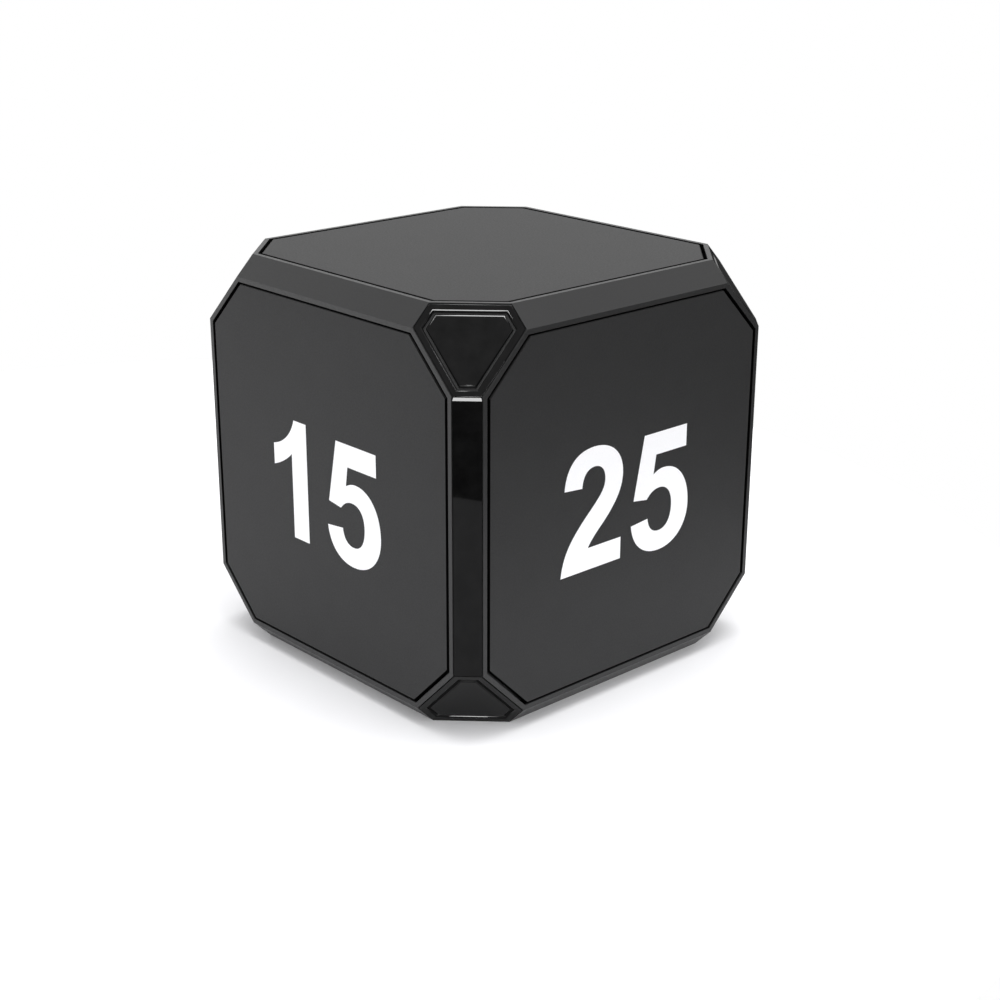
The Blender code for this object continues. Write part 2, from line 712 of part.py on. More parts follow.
def add_battery_box():
    length, width = BAY
    low = BAY_FLOOR - BAY_WALL
    shape = block((length + 2 * BAY_END_WALL, width + 2 * BAY_WALL), (0, 0), low, ROOF_LOW - GAP)
    shape = cut(shape, block(BAY, (0, 0), BAY_FLOOR, SIDE))
    for y_side in (-1, 1):
        slot = block(TAIL_SLOT, (-CONTACT_NEAR, y_side * CELL_Y), 0, BAY_FLOOR + PAST)
        ear_start = width / 2 + BAY_WALL / 2
        ear_end = EAR_Y + BOSS_RADIUS
        ear_size = (EAR_WIDTH, ear_end - ear_start)
        ear = block(ear_size, (0, y_side * (ear_start + ear_end) / 2), EAR_LOW, EAR_HIGH)
        hole = rod(BOARD_HOLE, EAR_LOW - PAST, EAR_HIGH + PAST, (0, y_side * EAR_Y), HOLE_SIDES)
        shape = cut(joined(cut(shape, slot), ear), hole)
    add_piece("battery_box", shape, inner_plastic())
    mesh = None
    head = EAR_LOW - GAP - BOARD_HEAD
    for number, y_side in enumerate((-1, 1), 1):
        screw = mesh or pan_screw(SCREW_HEAD, BOARD_HEAD, BOARD_SHANK, ROOF_LOW - GAP - head)
        obj = add_piece(f"battery_box_screw_{number}", screw, steel(), (0, y_side * EAR_Y, head))
        mesh = obj.data


def add_batteries():
    """Two cells head to tail: the first has its button at +X."""
    end = CELL_LENGTH - BUTTON
    inner = CELL_RADIUS - CRIMP[0]
    profile = [(0, 0), (inner, 0), (CELL_RADIUS, CRIMP[1]), (CELL_RADIUS, end - CRIMP[1])]
    profile += [(inner, end), (BUTTON_RADIUS, end), (BUTTON_RADIUS, CELL_LENGTH), (0, CELL_LENGTH)]
    mesh = None
    for number, side in ((1, -1), (2, 1)):
        place = (side * CELL_LENGTH / 2, side * CELL_Y, CELL_Z)
        turned_by = (0, -side * QUARTER, 0)
        obj = add_piece(f"battery_{number}", mesh or turned(profile), cell_jacket(), place, turned_by)
        mesh = obj.data


def contact(width, y, side, tail):
    """A contact plate at one end of the box, with a solder tail through the floor if it has one."""
    place = (side * (CONTACT_NEAR + CONTACT / 2), y)
    shape = block((CONTACT, width), place, BAY_FLOOR + GAP, CELL_Z + CONTACT_RISE)
    if tail:
        shape = joined(shape, block((CONTACT, TAIL[0]), place, BAY_FLOOR - TAIL[1], CELL_Z))
    return shape


def bump(y, side):
    """The raised button of a contact plate that meets a cell's own button."""
    reach = CONTACT_NEAR - CELL_LENGTH / 2 - GAP
    root = CONTACT / 2
    sides = [(radius, -share * reach) for radius, share in BUMP]
    shape = turned([(0, root), (BUMP[0][0], root), *sides, (0, -reach)], HOLE_SIDES)
    return moved(shape, (side * CONTACT_NEAR, y, CELL_Z), (0, side * QUARTER, 0))


def spring_coil(side):
    """A conical coil from a contact plate, wide, to a cell's flat end, narrow."""
    start = CONTACT_NEAR - GAP - SPRING_WIRE
    end = CELL_LENGTH / 2 + GAP + SPRING_WIRE
    points = []
    steps = int(SPRING_TURNS * SPRING_STEPS)
    for step in range(steps + 1):
        along = step / steps
        angle = 2 * math.pi * SPRING_TURNS * along
        radius = SPRING_WIDE + (SPRING_NARROW - SPRING_WIDE) * along
        x = side * (start + (end - start) * along)
        points.append((x, radius * math.cos(angle), radius * math.sin(angle)))
    return points


def add_contacts():
    add_piece("contact_plate_neg", contact(CONTACT_WIDTH, -CELL_Y, -1, True), steel())
    positive = joined(contact(CONTACT_WIDTH, CELL_Y, -1, True), bump(CELL_Y, -1))
    add_piece("contact_plate_pos", positive, steel())
    link = joined(contact(2 * CELL_Y + CONTACT_WIDTH, 0, 1, False), bump(-CELL_Y, 1))
    add_piece("battery_link_plate", link, steel())
    for number, side in ((1, -1), (2, 1)):
        coil = spring_coil(side)
        add_wire(f"battery_spring_{number}", coil, SPRING_WIRE, steel(), (0, side * CELL_Y, CELL_Z))


def add_leads():
    """Two leads from the solder tails down to the board, each an S with straight ends."""
    for name, y_side, paint in (("red", 1, lead_red()), ("black", -1, lead_black())):
        top = Vector((-CONTACT_NEAR + LEAD_RADIUS + GAP, y_side * CELL_Y, BAY_FLOOR - LEAD_TOP))
        foot = Vector((LEAD_FOOT[0], y_side * LEAD_FOOT[1], PARTS_LOW))
        points = []
        for step in range(LEAD_STEPS + 1):
            along = step / LEAD_STEPS
            blend = along * along * (3 - 2 * along)
            place = top.lerp(foot, along)
            place.x = top.x + (foot.x - top.x) * blend + LEAD_BULGE * math.sin(math.pi * along) ** 2
            place.y = top.y + (foot.y - top.y) * blend
            points.append(place)
        add_wire(f"battery_lead_{name}", points, LEAD_RADIUS, paint)


def main():
    for obj in list(bpy.data.objects):
        bpy.data.objects.remove(obj)
    centre = add_empty("cube_centre", (0, 0, HALF))
    add_housing()
    add_corner_caps(centre)
    add_edge_strips(centre)
    add_number_panels(centre)
    add_battery_cover()
    add_display_face()
    add_chassis()
    add_case_screws()
    add_display()
    add_switches()
    add_board()
    add_board_parts()
    add_tilt_switches()
    add_battery_box()
    add_batteries()
    add_contacts()
    add_leads()


main()
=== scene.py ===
"""The look of the cube timer: softened copies of its solids, its numerals, and the studio round them.

Lengths are in millimetres round the cube's centre, and solid() turns them into metres in the row frame. Only
the studio's lengths are in metres from the start. The display faces down, the battery cover is on top, and
panel_15 faces -Y.
"""

import json
import math
from itertools import product

import bmesh
import bpy
from mathutils import Euler, Matrix, Vector

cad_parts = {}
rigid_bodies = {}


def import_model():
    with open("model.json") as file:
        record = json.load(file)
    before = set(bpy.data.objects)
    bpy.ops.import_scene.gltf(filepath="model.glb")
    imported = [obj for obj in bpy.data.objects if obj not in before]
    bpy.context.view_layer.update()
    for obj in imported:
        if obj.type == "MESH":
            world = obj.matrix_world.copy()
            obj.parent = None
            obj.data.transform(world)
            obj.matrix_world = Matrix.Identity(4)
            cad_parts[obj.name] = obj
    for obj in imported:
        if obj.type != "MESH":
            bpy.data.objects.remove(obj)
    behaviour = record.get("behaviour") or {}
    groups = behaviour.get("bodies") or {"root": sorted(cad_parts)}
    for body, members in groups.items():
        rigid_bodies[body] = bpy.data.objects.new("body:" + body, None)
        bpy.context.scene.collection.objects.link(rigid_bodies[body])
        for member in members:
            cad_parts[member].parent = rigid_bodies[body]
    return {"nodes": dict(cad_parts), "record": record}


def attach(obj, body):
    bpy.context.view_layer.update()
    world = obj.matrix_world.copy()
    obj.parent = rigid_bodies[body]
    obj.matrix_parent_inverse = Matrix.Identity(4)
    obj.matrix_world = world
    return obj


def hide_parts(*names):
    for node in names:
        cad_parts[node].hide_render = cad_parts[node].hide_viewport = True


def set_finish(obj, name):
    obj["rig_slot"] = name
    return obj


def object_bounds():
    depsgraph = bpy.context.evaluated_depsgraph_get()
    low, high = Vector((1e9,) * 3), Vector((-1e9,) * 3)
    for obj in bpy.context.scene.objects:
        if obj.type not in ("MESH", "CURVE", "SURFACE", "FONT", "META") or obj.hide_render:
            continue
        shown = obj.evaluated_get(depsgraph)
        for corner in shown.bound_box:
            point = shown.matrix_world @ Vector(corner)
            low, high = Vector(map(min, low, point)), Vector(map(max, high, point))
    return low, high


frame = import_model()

CAD_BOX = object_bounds()

MM = 0.001
ROOT_2 = math.sqrt(2)
ROOT_3 = math.sqrt(3)
QUARTER = math.pi / 2

# The cube, as the CAD has it
HALF = (CAD_BOX[1].z - CAD_BOX[0].z) / 2 / MM
CENTRE = Vector((0, 0, HALF * MM))
CHAMFER = 2.9
CORNER_CUT = 13.35
FLAT = HALF - CHAMFER
EDGE_REACH = 2 * HALF - CHAMFER
CORNER_REACH = 3 * HALF - CORNER_CUT
FACE_CUT = CORNER_REACH - HALF
SHORT = FACE_CUT - FLAT
PANEL_SINK = 0.03
RIM = 0.7
RECESS = 1.65

# Painted shade: near-black paint on the groove between a face's rim and its panel, standing in for the shade
# in it
GROOVE_SHADE_START = 0.032  # depth at which the painted shade begins
UPLIT_SHADE_START = 0.3  # the same, for a wall that faces up and so catches light, where the painted shade starts deeper
GROOVE_SHADE_PAST = 0.05  # how far below its floor the painted shade may still lie
GROOVE_SHADE_REACH = (-0.66, 0.03)  # where the painted shade begins and ends, outwards from the rim's inner edge

# Corner caps
SEAM = 0.12  # gap between a cap or a strip and the housing
CAP_FLOOR = 0.95  # thickness
CAP_BAND = 0.72  # width of the flat band outside the groove
CAP_EDGE = 0.26  # radius of the groove's edges
CAP_EDGE_STEPS = 5
CAP_WALL = 80.0  # slope of the groove's walls, in degrees
CAP_GROOVE = 0.3  # width of the groove's floor
CAP_GROOVE_DEPTH = 0.5
CAP_SHADE_START = 0.24  # depth below the facet at which a cap's painted shade begins
CAP_TIP = 1.5  # height of a cap's end at its strip, where its painted shade begins sooner
CAP_TIP_SHADE_START = 0.02  # depth at which the painted shade begins there
CAP_ROUND = 0.06  # on the facet's outer edge

# Edge strips
STRIP_FLOOR = 55.3  # where x + y is least
STRIP_GAP = 0.05  # on each side of the line where a strip meets its cap
STRIP_EDGE = 0.12  # radius of a strip's long edges
STRIP_ROUND = 1.0  # radius of a strip's upper end
STRIP_TURN = 32  # how far that end turns, in degrees
STRIP_STEPS = 12

# Numerals
INK = 0.02  # how far the ink stands proud of its panel
DIGIT_STEPS = 14  # along each curve


# ---------------------------------------------------------------- materials


def set_stops(ramp, stops):
    """Gives a colour ramp its (position, colour) stops."""
    elements = ramp.elements
    while len(elements) < len(stops):
        elements.new(1.0)
    for element, (position, colour) in zip(elements, stops):
        element.position = position
        element.color = (*colour, 1.0)


class Nodes:
    """A material's node tree, with short calls to add nodes and links."""

    def __init__(self, name):
        self.material = bpy.data.materials.new(name)
        self.material.use_nodes = True
        self.tree = self.material.node_tree
        self.shader = self.tree.nodes["Principled BSDF"]
        self.place = self.add("ShaderNodeTexCoord").outputs["Object"]

    def add(self, kind, **settings):
        node = self.tree.nodes.new(kind)
        for key, value in settings.items():
            if key in ("operation", "feature"):
                setattr(node, key, value)
            else:
                node.inputs[key.replace("_", " ")].default_value = value
        return node

    def link(self, start, end):
        self.tree.links.new(start, end)

    def noise(self, size, detail=3.0, roughness=0.6, stretch=(1, 1, 1)):
        """Noise whose features are about size millimetres across."""
        mapping = self.add("ShaderNodeMapping")
        mapping.inputs["Scale"].default_value = [s / (size * MM) for s in stretch]
        self.link(self.place, mapping.inputs["Vector"])
        noise = self.add("ShaderNodeTexNoise", Scale=1.0, Detail=detail, Roughness=roughness)
        self.link(mapping.outputs["Vector"], noise.inputs["Vector"])
        return noise.outputs["Fac"]

    def ramp(self, value, stops):
        """A colour ramp with (position, colour) stops."""
        ramp = self.tree.nodes.new("ShaderNodeValToRGB")
        set_stops(ramp.color_ramp, stops)
        self.link(value, ramp.inputs["Fac"])
        return ramp.outputs["Color"]

    def range(self, value, low, high, start=0.3, end=0.7):
        """value's middle part spread from low to high."""
        node = self.add("ShaderNodeMapRange")
        for name, number in (("From Min", start), ("From Max", end), ("To Min", low), ("To Max", high)):
            node.inputs[name].default_value = number
        self.link(value, node.inputs["Value"])
        return node.outputs["Result"]

    def mix(self, factor, first, second, blend="MIX"):
        """A mix of two colours, each a socket or a colour."""
        node = self.tree.nodes.new("ShaderNodeMix")
        node.data_type = "RGBA"
        node.blend_type = blend
        for socket, value in ((node.inputs[0], factor), (node.inputs[6], first), (node.inputs[7], second)):
            if isinstance(value, (int, float)):
                socket.default_value = value
            elif isinstance(value, tuple):
                socket.default_value = (*value, 1.0)
            else:
                self.link(value, socket)
        return node.outputs[2]

    def colour(self, socket):
        self.link(socket, self.shader.inputs["Base Color"])

    def rough(self, socket):
        self.link(socket, self.shader.inputs["Roughness"])

    def bump(self, height, depth):
        """A bump depth millimetres high."""
        node = self.add("ShaderNodeBump", Strength=1.0, Distance=depth * MM)
        self.link(height, node.inputs["Height"])
        self.link(node.outputs["Normal"], self.shader.inputs["Normal"])

    def set(self, **settings):
        for key, value in settings.items():
            self.shader.inputs[key.replace("_", " ")].default_value = value
        return self.material

    def edges(self, colour, worn):
        """colour, with a paler tone where an edge has been rubbed."""
        geometry = self.tree.nodes.new("ShaderNodeNewGeometry")
        edge = self.range(geometry.outputs["Pointiness"], 0.0, 0.5, 0.52, 0.62)
        patches = self.range(self.noise(1.6, 4.0), 0.2, 1.0, 0.4, 0.6)
        factor = self.add("ShaderNodeMath", operation="MULTIPLY")
        self.link(edge, factor.inputs[0])
        self.link(patches, factor.inputs[1])
        return self.mix(factor.outputs[0], colour, worn)


def grey(level):
    """A grey with a trace of blue."""
    return (level, level, level * 1.02)


def moulded(name, low, high, rough, grain, depth, specular=0.5, worn=None):
    """Moulded plastic: its tone, gloss and height vary with a fine grain and with broad, faint clouds.

    grain is the size of its features and depth is their height.
    """
    nodes = Nodes(name)
    fine = nodes.noise(grain, 4.0, 0.65)
    clouds = nodes.noise(grain * 40, 3.0, 0.5)
    tone = nodes.ramp(fine, [(0.3, low), (0.7, high)])
    tone = nodes.mix(nodes.range(clouds, 0.0, 0.35), tone, high)
    if worn:
        tone = nodes.edges(tone, worn)
    nodes.colour(tone)
    nodes.rough(nodes.range(nodes.noise(grain * 2.5, 3.0), *rough))
    nodes.bump(fine, depth)
    return nodes.set(Specular_IOR_Level=specular)


def metal(name, low, high, rough, stretch):
    """Drawn or rolled metal, with fine lines along one way and faint stains."""
    nodes = Nodes(name)
    lines = nodes.noise(0.5, 5.0, 0.7, stretch)
    stains = nodes.noise(3.0, 3.0, 0.5)
    tone = nodes.ramp(lines, [(0.25, low), (0.75, high)])
    nodes.colour(nodes.mix(nodes.range(stains, 0.0, 0.25), tone, low))
    nodes.rough(nodes.range(lines, *rough))
    nodes.bump(lines, 0.004)
    return nodes.set(Metallic=1.0)


def make_satin_black():
    return moulded("satin_black_plastic", grey(0.015), grey(0.021), (0.36, 0.46), 0.14, 0.004, 0.34)


def make_panel_black():
    return moulded("panel_black_plastic", grey(0.0155), grey(0.025), (0.5, 0.6), 0.11, 0.009, 0.22)


def make_gloss_black():
    """Polished black plastic, with faint haze and a trace of flow from the mould."""
    nodes = Nodes("gloss_black_plastic")
    haze = nodes.noise(2.2, 4.0, 0.6)
    nodes.colour(nodes.ramp(haze, [(0.3, grey(0.0004)), (0.7, grey(0.0009))]))
    nodes.rough(nodes.range(haze, 0.02, 0.035))
    nodes.bump(nodes.noise(5.0, 2.0, 0.4), 0.0012)
    return nodes.set(Specular_IOR_Level=0.115)


def make_groove_shade_paint():
    """Painted shade: a near-black, hardly reflecting paint for the walls deep in a groove, standing in for
    the shade where hardly any light gets in.
    """
    return moulded("groove_painted_shade", grey(0.001), grey(0.002), (0.6, 0.7), 0.2, 0.004, 0.05)


def make_ink():
    """White pad-printed ink, a little uneven where it lies over the panel's grain."""
    nodes = Nodes("white_ink")
    fine = nodes.noise(0.16, 4.0, 0.6)
    nodes.colour(nodes.ramp(fine, [(0.3, grey(0.93)), (0.7, grey(0.98))]))
    nodes.rough(nodes.range(nodes.noise(0.9, 3.0), 0.45, 0.6))
    nodes.bump(fine, 0.003)
    return nodes.set(Specular_IOR_Level=0.3)


def make_inner_plastic():
    return moulded("inner_plastic_black", grey(0.035), grey(0.055), (0.5, 0.64), 0.3, 0.01, 0.4, grey(0.11))


def make_clear_plastic():
    """The display's clear window, with the faintest waviness."""
    nodes = Nodes("clear_window")
    waves = nodes.noise(6.0, 2.0, 0.4)
    nodes.colour(nodes.ramp(waves, [(0.3, (0.93, 0.95, 0.96)), (0.7, (0.97, 0.98, 0.98))]))
    nodes.rough(nodes.range(nodes.noise(1.5, 4.0), 0.02, 0.06))
    nodes.bump(waves, 0.002)
    return nodes.set(Transmission_Weight=0.95, IOR=1.49)


def make_display_glass():
    """The grey-green back of a reflective display, with its diffuser's sparkle."""
    nodes = Nodes("display_back")
    fine = nodes.noise(0.12, 4.0, 0.7)
    nodes.colour(nodes.ramp(fine, [(0.3, (0.27, 0.31, 0.25)), (0.7, (0.33, 0.37, 0.3))]))
    nodes.rough(nodes.range(nodes.noise(0.8, 3.0), 0.14, 0.26))
    nodes.bump(fine, 0.003)
    return nodes.set(Specular_IOR_Level=0.5)


def make_zebra_rubber():
    """Conductive rubber: thin dark and pink layers along the strip."""
    nodes = Nodes("zebra_rubber_layers")
    layers = nodes.noise(0.24, 1.0, 0.4, (1, 0.02, 0.02))
    nodes.colour(nodes.ramp(layers, [(0.42, (0.12, 0.1, 0.11)), (0.55, (0.5, 0.33, 0.37))]))
    nodes.rough(nodes.range(nodes.noise(0.5), 0.6, 0.8))
    nodes.bump(layers, 0.01)
    return nodes.set(Specular_IOR_Level=0.4)


def make_board_green():
    """Solder mask over copper: paler, raised tracks that turn at right angles, on a woven base."""
    nodes = Nodes("board_solder_mask")
    spacing = 2.6 * MM
    cells = nodes.add("ShaderNodeTexVoronoi", feature="DISTANCE_TO_EDGE", Scale=1 / spacing, Randomness=0.55)
    nodes.link(nodes.place, cells.inputs["Vector"])
    track = nodes.range(cells.outputs["Distance"], 1.0, 0.0, 0.07, 0.11)
    weave = nodes.noise(0.25, 3.0, 0.6)
    base = nodes.ramp(weave, [(0.3, (0.008, 0.07, 0.028)), (0.7, (0.014, 0.1, 0.04))])
    nodes.colour(nodes.mix(track, base, (0.03, 0.2, 0.08)))
    nodes.rough(nodes.range(weave, 0.28, 0.4))
    nodes.bump(track, 0.03)
    return nodes.set(Specular_IOR_Level=0.5)


def make_cell_jacket(button_side):
    """A cell's printed jacket: dark, with a copper-coloured band towards its button, and bare steel ends."""
    nodes = Nodes("cell_jacket_pos" if button_side > 0 else "cell_jacket_neg")
    parts = nodes.add("ShaderNodeSeparateXYZ")
    nodes.link(nodes.place, parts.inputs["Vector"])
    half = 22 * MM * button_side
    along = nodes.range(parts.outputs["X"], 0.0, 1.0, -half, half)
    steel, dark, copper = (0.55, 0.55, 0.56), (0.03, 0.035, 0.045), (0.62, 0.3, 0.12)
    stops = [(0.0, steel), (0.022, dark), (0.7, copper), (0.945, (0.8, 0.8, 0.8)), (0.955, steel)]
    print_tone = nodes.ramp(along, stops)
    print_tone.node.color_ramp.interpolation = "CONSTANT"
    grain = nodes.noise(0.4, 4.0, 0.6)
    nodes.colour(nodes.mix(nodes.range(grain, 0.0, 0.18), print_tone, grey(0.02), "MULTIPLY"))
    nodes.rough(nodes.range(grain, 0.22, 0.34))
    nodes.bump(grain, 0.003)
    return nodes.set(Metallic=0.35)


def make_lead(name, low, high):
    return moulded(name, low, high, (0.35, 0.5), 0.3, 0.008, 0.5)


MAKERS = {
    "satin_black": make_satin_black,
    "panel_black": make_panel_black,
    "gloss_black": make_gloss_black,
    "inner_plastic": make_inner_plastic,
    "clear_plastic": make_clear_plastic,
    "display_glass": make_display_glass,
    "zebra_rubber": make_zebra_rubber,
    "board_green": make_board_green,
    "epoxy_black": lambda: moulded("epoxy_black_mould", grey(0.010), grey(0.018), (0.28, 0.45), 0.3, 0.01),
    "steel": lambda: metal("plated_steel", grey(0.5), grey(0.68), (0.24, 0.38), (1, 1, 0.15)),
    "brass": lambda: metal("rolled_brass", (0.6, 0.42, 0.17), (0.78, 0.57, 0.25), (0.24, 0.4), (0.1, 1, 1)),
    "lead_red": lambda: make_lead("lead_red_sheath", (0.4, 0.012, 0.012), (0.5, 0.02, 0.018)),
    "lead_black": lambda: make_lead("lead_black_sheath", grey(0.01), grey(0.018)),
    "knob_grey": lambda: moulded("knob_grey_plastic", grey(0.25), grey(0.33), (0.42, 0.56), 0.2, 0.008, 0.5),
}
PAINTS = {slot: make() for slot, make in MAKERS.items()}
INK_PAINT = make_ink()
# Painted shade: near-black paint that stands in for the shade deep in the grooves
GROOVE_SHADE_PAINT = make_groove_shade_paint()
CELL_PAINTS = {"battery_1": make_cell_jacket(1), "battery_2": make_cell_jacket(-1)}


# ---------------------------------------------------------------- shapes


def convex(planes):
    """The solid of every point p with normal . p <= reach, for each (normal, reach)."""
    shape = bmesh.new()
    bmesh.ops.create_cube(shape, size=6 * HALF)
    for normal, reach in planes:
        normal = Vector(normal)
        cut = bmesh.ops.bisect_plane(
            shape,
            geom=[*shape.verts, *shape.edges, *shape.faces],
            plane_co=normal * (reach / normal.length_squared),
            plane_no=normal,
            clear_outer=True,
        )
        edges = [item for item in cut["geom_cut"] if isinstance(item, bmesh.types.BMEdge)]
        bmesh.ops.edgeloop_fill(shape, edges=edges)
    bmesh.ops.recalc_face_normals(shape, faces=shape.faces)
    return shape


def soften(shape, width, segments=3, angle=30.0, chosen=None):
    """Rounds the edges that turn by more than angle, or the chosen ones."""
    sharp = [e for e in shape.edges if e.is_manifold and e.calc_face_angle() > math.radians(angle)]
    if chosen:
        sharp = [edge for edge in sharp if chosen(edge)]
    bmesh.ops.bevel(
        shape,
        geom=sharp,
        offset=width,
        offset_type="OFFSET",
        segments=segments,
        profile=0.5,
        affect="EDGES",
        clamp_overlap=True,
    )
    return shape


def shown(name, mesh, body, paint, slot, nodes=()):
    """Puts a mesh in the scene as a piece on a body, in place of its CAD nodes."""
    mesh.materials.clear()
    mesh.materials.append(paint)
    mesh.shade_smooth()
    mesh.set_sharp_from_angle(angle=math.radians(50))
    piece = bpy.data.objects.new(name, mesh)
    bpy.context.scene.collection.objects.link(piece)
    modifier = piece.modifiers.new("Weighted Normal", "WEIGHTED_NORMAL")
    modifier.keep_sharp = True
    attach(piece, body)
    if nodes:
        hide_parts(*nodes)
    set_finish(piece, slot)
    return piece


def solid(shape, name, turn):
    """A mesh in metres in the row frame, from a copy of a shape in millimetres round the cube's centre."""
    copy = shape.copy()
    turned = Matrix.Translation(CENTRE) @ Euler(turn).to_matrix().to_4x4() @ Matrix.Scale(MM, 4)
    copy.transform(turned)
    mesh = bpy.data.meshes.new(name)
    copy.to_mesh(mesh)
    copy.free()
    return mesh


def refined(node, body, paint, slot, width):
    """A CAD node's own solid, with its flat faces merged, its edges softened and its grooves painted
    near-black as shade.
    """
    shape = bmesh.new()
    shape.from_mesh(frame["nodes"][node].data)
    bmesh.ops.remove_doubles(shape, verts=shape.verts, dist=1e-6)
    bmesh.ops.dissolve_limit(shape, angle_limit=math.radians(0.6), verts=shape.verts, edges=shape.edges)
    if width:
        soften(shape, width * MM)
    grooved = slot in ("satin_black", "panel_black")
    if grooved:
        for side in product((-1, 1), range(2)):
            split(shape, *side)
    # the groove's faces, which get near-black paint as painted shade
    shaded_faces = [face.index for face in shape.faces if in_painted_shade(face)] if grooved else []
    mesh = bpy.data.meshes.new(node + "_form")
    shape.to_mesh(mesh)
    shape.free()
    shown(node + "_form", mesh, body, paint, slot, [node])
    if shaded_faces:
        mesh.materials.append(GROOVE_SHADE_PAINT)
        for index in shaded_faces:
            mesh.polygons[index].material_index = 1


def split(shape, way, axis):
    """Splits the faces of a node, on one side of the cube, at the depth where the painted shade on a wall
    that faces up begins.
    """
    normal = Vector((0, 0, 0))
    normal[axis] = way
    geometry = [*shape.verts, *shape.edges, *shape.faces]
    place = CENTRE + normal * ((HALF - UPLIT_SHADE_START) * MM)
    bmesh.ops.bisect_plane(shape, geom=geometry, plane_co=place, plane_no=normal, dist=1e-7)
    shape.faces.index_update()


def in_painted_shade(face):
    """True for a wall or a floor of the groove between a face's rim and its panel, which gets painted shade.
    A wall that faces up catches light, so its painted shade starts deeper.
    """
    place = (face.calc_center_median() - CENTRE) / MM
    axis = max(range(3), key=lambda number: abs(place[number]))
    depth = HALF - abs(place[axis])
    aside = [abs(place[number]) for number in range(3) if number != axis]
    edge = FLAT - RIM
    reach = [max(aside) - edge, (sum(aside) - FACE_CUT + RIM * ROOT_2) / ROOT_2]
    # a wall that faces up is lit, so its painted shade starts deeper
    start = UPLIT_SHADE_START if axis < 2 and face.normal.z > 0.5 else GROOVE_SHADE_START
    least, most = GROOVE_SHADE_REACH
    return start < depth < RECESS + GROOVE_SHADE_PAST and least < max(reach) < most


# ---------------------------------------------------------------- corner caps and edge strips


def cap_shape():
    """The cap of the corner +X +Y +Z."""
    planes = [((1, 1, 1), CORNER_REACH), ((-1, -1, -1), CAP_FLOOR * ROOT_3 - CORNER_REACH)]
    for axis in range(3):
        wall = [-1, -1, -1]
        wall[axis] = 0
        planes.append((wall, -FACE_CUT - SEAM * ROOT_2))
        end = [0, 0, 0]
        end[axis] = -1
        planes.append((end, -SHORT - (SEAM if axis < 2 else STRIP_GAP)))
    facet = Vector((1, 1, 1)).normalized()
    shape = convex(planes)
    top = max(shape.faces, key=lambda face: (round(face.normal.dot(facet), 4), face.calc_area()))
    groove_profile(shape, top)

    def on_facet(edge):
        return all(sum(corner.co) > CORNER_REACH - 0.01 for corner in edge.verts)

    return soften(shape, CAP_ROUND, 2, 60.0, on_facet)


def groove_profile(shape, top):
    """Runs a round-edged groove round a cap's facet, in from its edge."""
    slope = math.radians(CAP_WALL)
    arc = [slope * step / CAP_EDGE_STEPS for step in range(CAP_EDGE_STEPS + 1)]
    edge = [(CAP_EDGE * math.sin(angle), CAP_EDGE * (math.cos(angle) - 1)) for angle in arc]
    down = [(x1 - x0, y1 - y0) for (x0, y0), (x1, y1) in zip(edge, edge[1:])]
    drop = CAP_GROOVE_DEPTH + edge[-1][1]
    down.append((drop / math.tan(slope), -drop))
    up = [(x, -y) for x, y in reversed(down)]
    steps = [(CAP_BAND, 0.0), *down, (CAP_GROOVE, 0.0), *up]
    for thickness, depth in steps:
        bmesh.ops.inset_region(shape, faces=[top], thickness=thickness, depth=depth, use_even_offset=True)


def add_corner_caps():
    """The eight caps, each the one shape turned to its corner, with its groove and its end at the strip
    painted near-black as shade.
    """
    shape = cap_shape()
    names = [f"corner_cap_{level}_{place}" for level in ("top", "base") for place in range(1, 5)]
    turns = [(flip, 0, step * QUARTER) for flip in (0, math.pi) for step in range(4)]
    for name, turn in zip(names, turns):
        mesh = solid(shape, name + "_form", turn)
        shown(name + "_form", mesh, "case", PAINTS["gloss_black"], "gloss_black", [name])
        mesh.materials.append(GROOVE_SHADE_PAINT)
        for polygon in mesh.polygons:
            place = (polygon.center - CENTRE) / MM
            # faces deeper than start below the facet get near-black paint as painted shade
            start = CAP_TIP_SHADE_START if abs(place.z) < SHORT + CAP_TIP else CAP_SHADE_START
            polygon.material_index = int(CORNER_REACH - sum(map(abs, place)) > start * ROOT_3)
    shape.free()


def add_edge_strips():
    """The four upright strips, each with its upper end rounded in small flat steps."""
    length = SHORT - STRIP_GAP
    planes = [((1, 1, 0), EDGE_REACH), ((-1, -1, 0), -STRIP_FLOOR), ((0, 0, 1), length), ((0, 0, -1), length)]
    planes += [((-1, 0, 0), -FLAT - SEAM), ((0, -1, 0), -FLAT - SEAM)]
    turn = math.radians(STRIP_TURN)
    for step in range(1, STRIP_STEPS + 1):
        angle = turn * step / STRIP_STEPS
        out, up = math.cos(angle) / ROOT_2, math.sin(angle)
        reach = (EDGE_REACH / ROOT_2 - STRIP_ROUND) * math.cos(angle) + STRIP_ROUND
        planes.append(((out, out, up), reach + (length - STRIP_ROUND * math.sin(turn)) * up))

    def is_long(edge):
        return abs(edge.verts[0].co.z - edge.verts[1].co.z) > length

    shape = soften(convex(planes), STRIP_EDGE, chosen=is_long)
    for step in range(4):
        name = f"edge_strip_{step + 1}"
        mesh = solid(shape, name + "_form", (0, 0, step * QUARTER))
        shown(name + "_form", mesh, "case", PAINTS["gloss_black"], "gloss_black", [name])
    shape.free()


# ---------------------------------------------------------------- numerals

